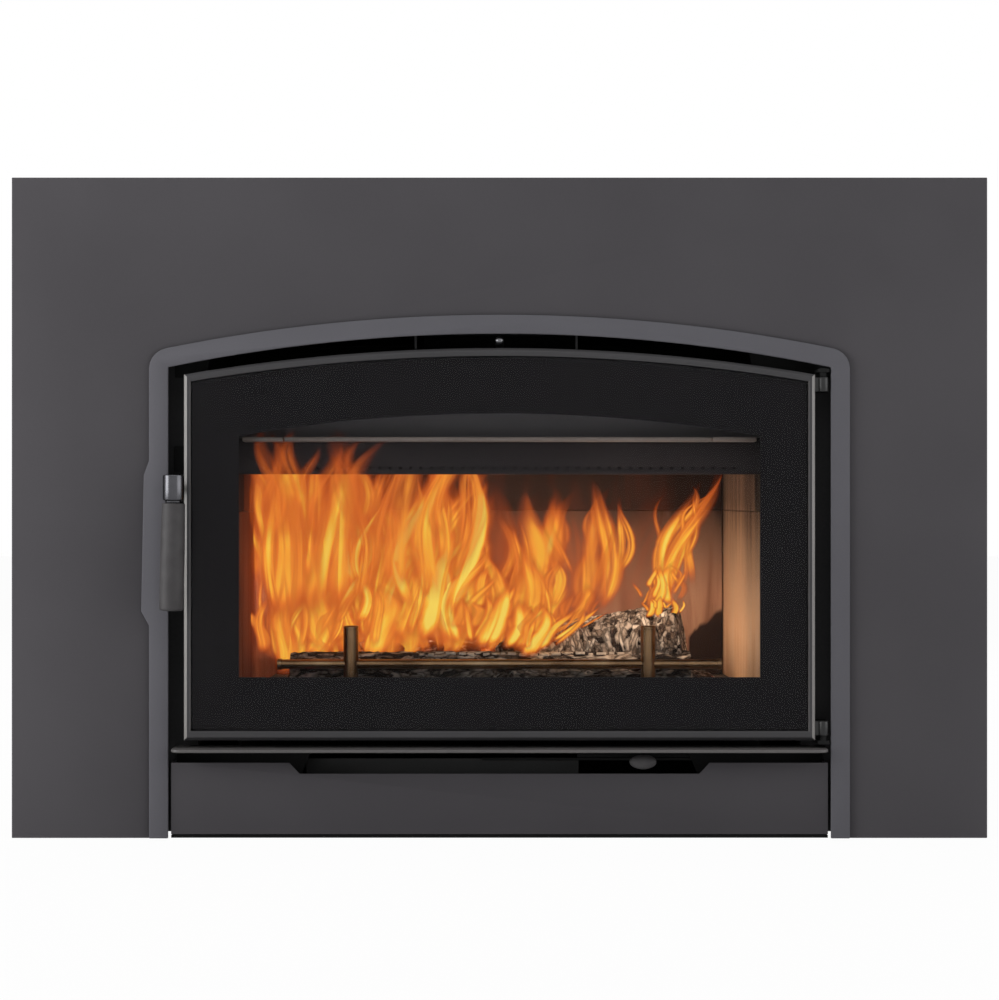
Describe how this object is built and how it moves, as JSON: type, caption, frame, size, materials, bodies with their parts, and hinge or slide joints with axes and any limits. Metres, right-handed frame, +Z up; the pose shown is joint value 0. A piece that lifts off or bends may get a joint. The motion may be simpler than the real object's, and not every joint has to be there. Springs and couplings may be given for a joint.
{
  "type": "fireplace insert",
  "caption": "Wood-burning fireplace insert with flat steel surround, arch trim, hinged glass door, brick firebox, andiron with logs and blower.",
  "frame": {"origin": "on the resting face, at the middle of the width, on the plane of the wall that the surround meets", "axes": "+X to the right seen from the room, +Y back into the fireplace, +Z up"},
  "size_m": [1.118, 0.4856, 0.757],
  "materials": {
    "grey_steel": "matt charcoal grey paint on sheet steel",
    "trim_steel": "matt lighter grey paint on steel",
    "door_steel": "satin dark grey paint on steel",
    "apron_steel": "matt dark grey paint on sheet steel",
    "black_steel": "matt black high-temperature paint",
    "bare_steel": "turned and polished steel",
    "bronze_steel": "heat-bronzed turned steel",
    "ceramic_glass": "clear ceramic glass",
    "printed_black": "black ceramic print on glass",
    "seal_rope": "braided glass fibre rope",
    "grip_black": "dark grey textured grip",
    "fireclay": "fired clay brick, sooted",
    "ceramic_board": "ceramic fibre board, sooted",
    "bark": "charred split logs with bark"
  },
  "bodies": {
    "root": {"surround_panel": "grey_steel", "arch_trim": "trim_steel", "base_pan": "black_steel", "jacket_left": "black_steel", "jacket_right": "black_steel", "jacket_back": "black_steel", "jacket_top": "black_steel", "firebox_floor": "black_steel", "firebox_left": "black_steel", "firebox_right": "black_steel", "firebox_back": "black_steel", "firebox_top": "black_steel", "front_plate": "black_steel", "flue_collar": "black_steel", "damper_box": "black_steel", "floor_brick": "fireclay", "side_brick_left_lower": "fireclay", "side_brick_right_lower": "fireclay", "side_brick_left_upper": "fireclay", "side_brick_right_upper": "fireclay", "back_brick_lower_left": "fireclay", "back_brick_lower_right": "fireclay", "back_brick_upper_left": "fireclay", "back_brick_upper_right": "fireclay", "baffle_board": "ceramic_board", "air_manifold": "black_steel", "airwash_lip_left": "black_steel", "airwash_lip_centre": "black_steel", "airwash_lip_right": "black_steel", "andiron_post_left": "bronze_steel", "andiron_post_right": "bronze_steel", "andiron_bar": "bronze_steel", "log_front": "bark", "log_left": "bark", "log_back": "bark", "log_right": "bark", "log_top": "bark", "hearth_shelf": "apron_steel", "apron": "apron_steel", "slot_plate": "black_steel", "corner_plate_left": "black_steel", "corner_plate_right": "black_steel", "hinge_bracket_top": "bare_steel", "hinge_bracket_bottom": "bare_steel", "latch_catch": "black_steel", "blower_housing": "black_steel", "blower_motor": "bare_steel", "power_inlet": "grip_black"},
    "door": {"door_frame": "door_steel", "door_glass": "ceramic_glass", "glass_border": "printed_black", "glass_seal": "seal_rope", "door_rope": "seal_rope"},
    "door_handle": {"latch_shaft": "bare_steel", "handle_ferrule": "bare_steel", "handle_grip": "grip_black"},
    "air_control": {"air_control": "apron_steel"},
    "flue_damper": {"damper_slide": "bare_steel"},
    "blower_rotor": {"blower_wheel": "bare_steel"}
  },
  "joints": [
    {"name": "door_hinge", "type": "hinge", "parent": "root", "child": "door", "pos_m": [0.3708, -0.022, 0.3], "axis": [0, 0, 1], "range_deg": [0, 110]},
    {"name": "handle_turn", "type": "hinge", "parent": "door", "child": "door_handle", "pos_m": [-0.371, 0, 0.4015], "axis": [0, 1, 0], "range_deg": [0, 90]},
    {"name": "air_slide", "type": "slide", "parent": "root", "child": "air_control", "axis": [1, 0, 0], "range_m": [-0.115, 0.02]},
    {"name": "damper_pull", "type": "slide", "parent": "root", "child": "flue_damper", "axis": [0, -1, 0], "range_m": [0, 0.06]},
    {"name": "blower_spin", "type": "hinge", "parent": "root", "child": "blower_rotor", "pos_m": [0, 0.061, 0.04515], "axis": [1, 0, 0], "continuous": true}
  ]
}
